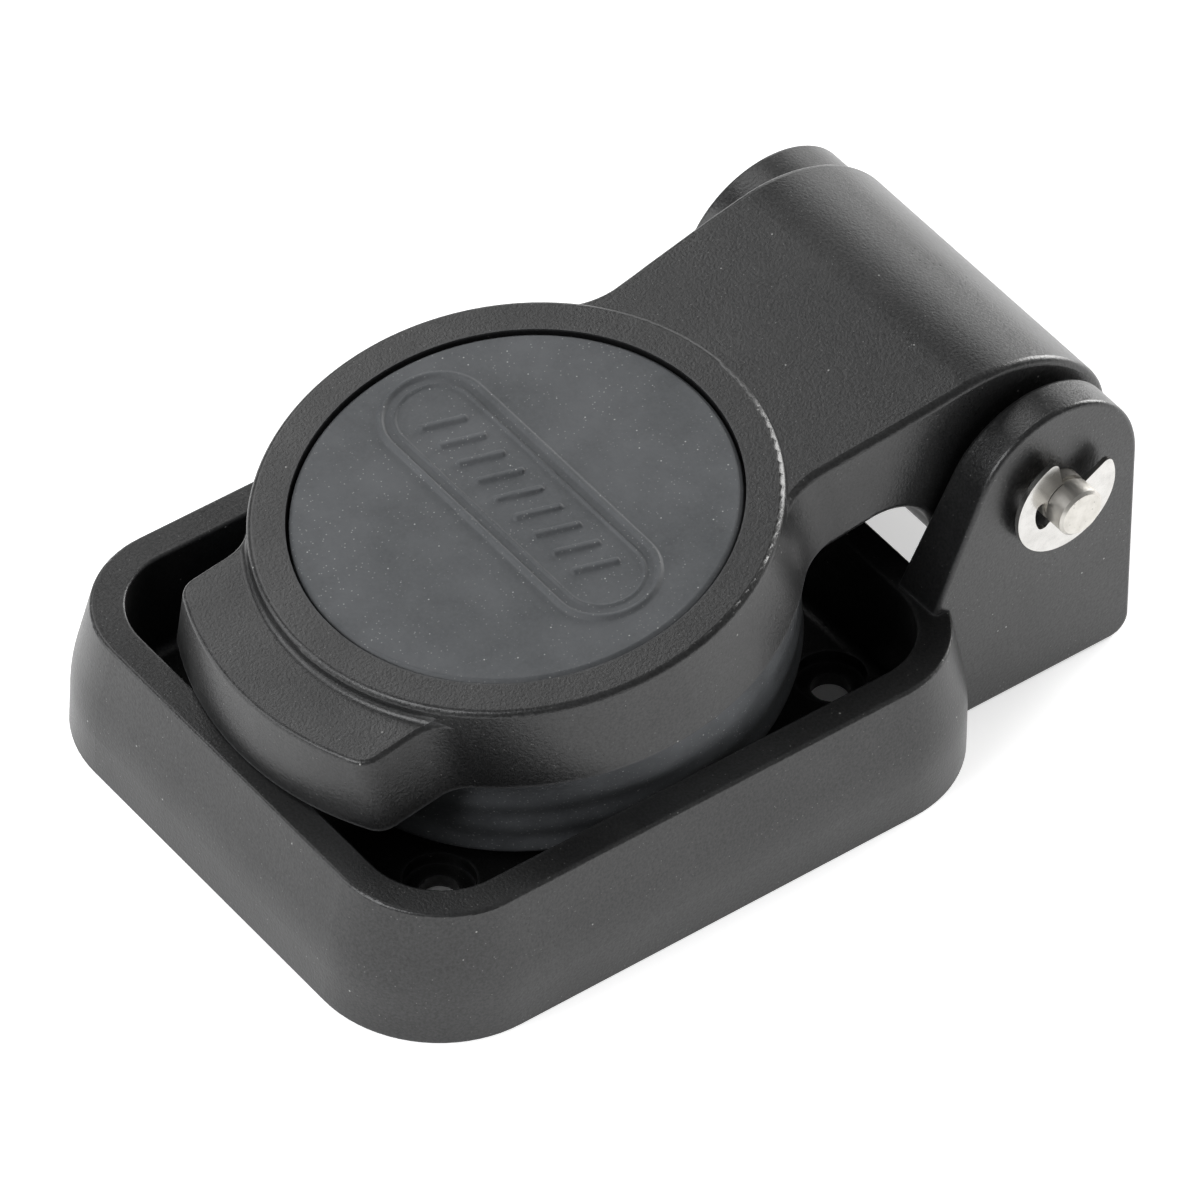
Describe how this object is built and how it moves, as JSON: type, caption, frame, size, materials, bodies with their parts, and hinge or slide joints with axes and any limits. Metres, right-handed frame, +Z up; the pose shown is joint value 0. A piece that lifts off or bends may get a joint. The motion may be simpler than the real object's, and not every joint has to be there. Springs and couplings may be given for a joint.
{
  "type": "hinged weatherproof flip-lid cover",
  "caption": "Rectangular surface-mount tray with a round rubber-sealed flip lid on an armed hinge with a stainless pin and E-clips.",
  "frame": {"origin": "centre of the tray's flat mounting face", "axes": "+X to the right along the hinge pin, +Y from the finger tab towards the hinge, +Z up out of the mounting face"},
  "size_m": [0.0786, 0.116, 0.0451],
  "materials": {
    "black_plastic": "fine matte moulded grain",
    "seal_rubber": "matt blue-grey rubber with light dust",
    "gasket_rubber": "matt closed-cell foam rubber",
    "stainless": "satin turned stainless",
    "polished_stainless": "bright rolled and stamped stainless"
  },
  "bodies": {
    "base": {"base_tray": "black_plastic", "base_gasket": "gasket_rubber", "hinge_pin": "stainless", "e_clips": "polished_stainless", "torsion_spring": "stainless"},
    "lid": {"lid_shell": "black_plastic", "lid_insert": "seal_rubber", "lid_seal": "seal_rubber"}
  },
  "joints": [
    {"name": "lid_hinge", "type": "hinge", "parent": "base", "child": "lid", "pos_m": [0, 0.0573, 0.0289], "axis": [-1, 0, 0], "range_deg": [0, 105], "deforming": ["torsion_spring"]}
  ]
}
